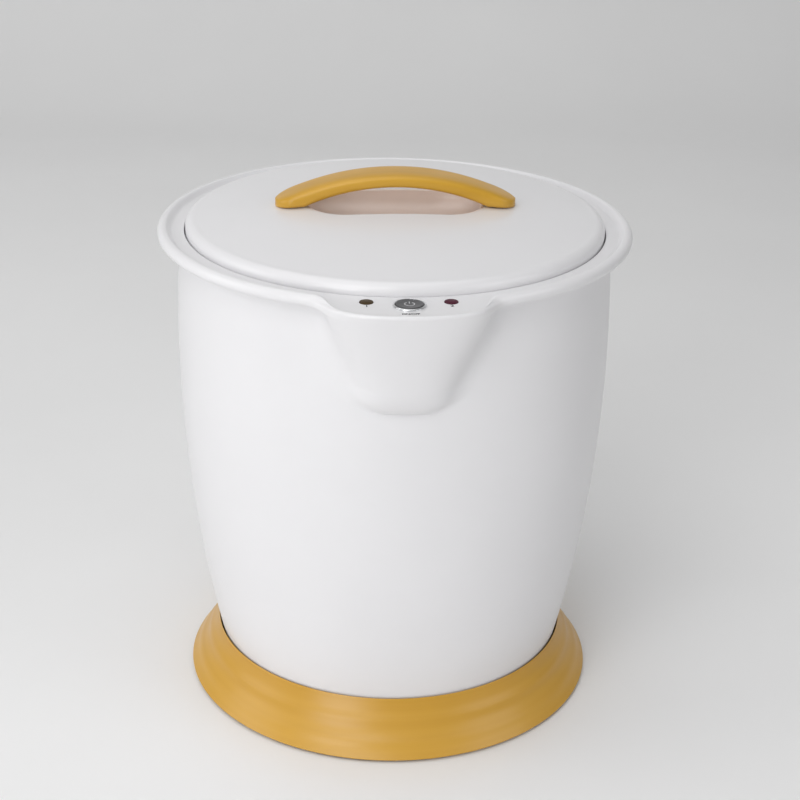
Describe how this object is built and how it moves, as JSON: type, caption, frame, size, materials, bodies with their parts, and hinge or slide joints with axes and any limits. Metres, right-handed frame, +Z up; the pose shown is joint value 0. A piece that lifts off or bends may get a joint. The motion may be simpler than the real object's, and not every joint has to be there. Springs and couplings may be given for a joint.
{
  "type": "towel warmer bucket",
  "caption": "Barrel-shaped towel warmer bucket with a flared base, a lift-off domed lid with a bridge handle over a finger well, and a control nose with a push button.",
  "frame": {"origin": "on the floor, in the middle of the footprint from the nose to the back of the rim; the bucket's own axis stands 8 mm behind it, towards +Y", "axes": "+Z up along the bucket's axis, the control nose towards -Y, +X to the right of someone facing the nose"},
  "size_m": [0.32, 0.3355, 0.373],
  "materials": {
    "shell_white": "satin moulded plastic",
    "base_ochre": "satin ochre plastic with faint grain",
    "bottom_grey": "matte moulded plastic",
    "foot_rubber": "matte rubber",
    "screw_steel": "plain steel",
    "gland_rubber": "matte rubber",
    "pot_aluminium": "spun, fine turning lines",
    "gasket_silicone": "matte silicone",
    "heater_silicone": "matte silicone",
    "fleece": "soft fibre fleece",
    "black_plastic": "matte moulded plastic",
    "fuse_ceramic": "matte ceramic",
    "terminal_ivory": "matte moulded plastic",
    "lead_red": "soft insulation",
    "board_green": "solder mask",
    "led_resin": "clear tinted resin",
    "lens_amber": "dark amber lens, unlit",
    "lens_wine": "dark wine-red lens, unlit",
    "bezel_chrome": "bright plated plastic",
    "cap_grey": "grey metallic with a pale pictograph",
    "well_sand": "satin moulded plastic",
    "foam": "rigid foam",
    "plate_white": "matte moulded plastic"
  },
  "bodies": {
    "bucket": {"outer_shell": "shell_white", "base_ring": "base_ochre", "base_plate": "bottom_grey", "rubber_feet": "foot_rubber", "base_screws": "screw_steel", "cord_gland": "gland_rubber", "inner_pot": "pot_aluminium", "pot_gasket": "gasket_silicone", "heating_wrap": "heater_silicone", "insulation_wrap": "fleece", "floor_heater": "heater_silicone", "insulation_disc": "fleece", "support_posts": "bottom_grey", "thermostat": "black_plastic", "thermal_fuse": "fuse_ceramic", "terminal_block": "terminal_ivory", "board_lead": "lead_red", "control_board": "board_green", "board_screws": "screw_steel", "push_switch": "black_plastic", "signal_leds": "led_resin", "lens_left": "lens_amber", "lens_right": "lens_wine", "button_bezel": "bezel_chrome"},
    "lid": {"lid_cover": "shell_white", "lid_handle": "base_ochre", "finger_well": "well_sand", "handle_screws": "screw_steel", "lid_insulation": "foam", "lid_plate": "plate_white", "lid_seal": "gasket_silicone", "lid_screws": "screw_steel"},
    "power_button": {"button_cap": "cap_grey", "switch_plunger": "black_plastic"}
  },
  "joints": [
    {"name": "lid_lift", "type": "slide", "parent": "bucket", "child": "lid", "axis": [0, 0, 1], "range_m": [0, 0.06]},
    {"name": "button_press", "type": "slide", "parent": "bucket", "child": "power_button", "axis": [0, 0, -1], "range_m": [0, 0.0012], "stiffness_N_per_m": 1500, "springref_m": -0.0003}
  ]
}
